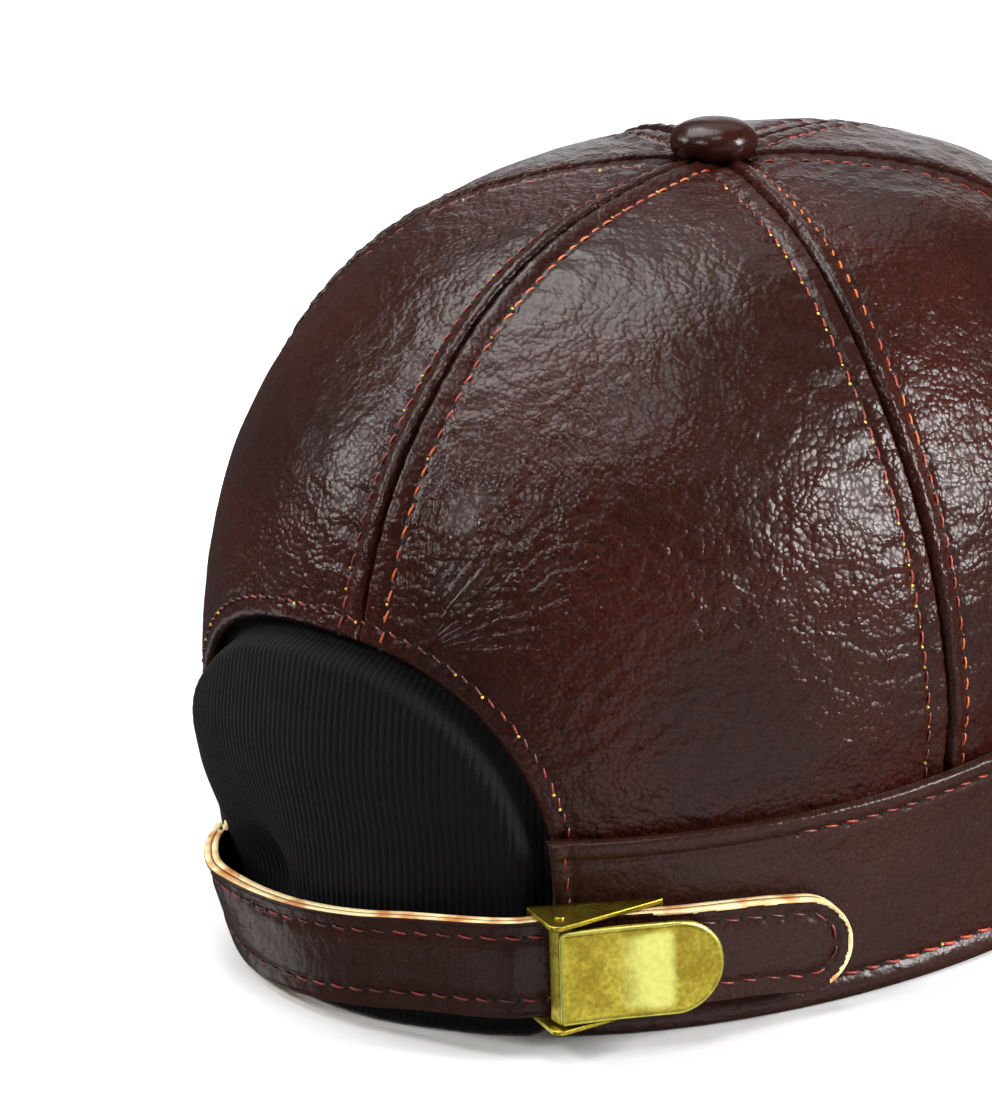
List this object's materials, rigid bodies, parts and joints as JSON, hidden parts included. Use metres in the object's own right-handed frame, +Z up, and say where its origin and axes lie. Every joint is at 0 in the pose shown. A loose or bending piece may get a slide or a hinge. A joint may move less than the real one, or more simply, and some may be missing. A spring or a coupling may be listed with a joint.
{
  "type": "leather baseball cap",
  "caption": "Panelled leather baseball cap with a covered button, curved brim, wide outer band, ribbed knit flap in the back opening and a leather strap closed by a brass clamp buckle.",
  "frame": {"origin": "on the table, under the middle of the cap's outline seen from above (brim tip to strap)", "axes": "+Z up; the brim points along -Y and the strap is at +Y; the wearer's right, with the buckle, is at -X"},
  "size_m": [0.1752, 0.2974, 0.1358],
  "materials": {
    "crown_leather": "glossy full-grain",
    "band_leather": "semi-gloss full-grain",
    "rib_knit": "matte ribbed knit",
    "buckle_brass": "antique satin"
  },
  "bodies": {
    "cap": {"panel_back_right": "crown_leather", "panel_back_left": "crown_leather", "panel_side_right": "crown_leather", "panel_side_left": "crown_leather", "panel_front_right": "crown_leather", "panel_front_left": "crown_leather", "button": "crown_leather", "brim": "crown_leather", "band_right": "band_leather", "band_left": "band_leather", "strap_outer": "band_leather", "strap_backing": "band_leather", "buckle_tab": "band_leather", "knit_flap": "rib_knit", "buckle_frame": "buckle_brass", "buckle_pin": "buckle_brass"},
    "lever": {"buckle_lever": "buckle_brass"}
  },
  "joints": [
    {"name": "lever_hinge", "type": "hinge", "parent": "cap", "child": "lever", "pos_m": [-0.04038, 0.13986, 0.0162], "axis": [0, 0, -1], "range_deg": [0, 100]}
  ]
}
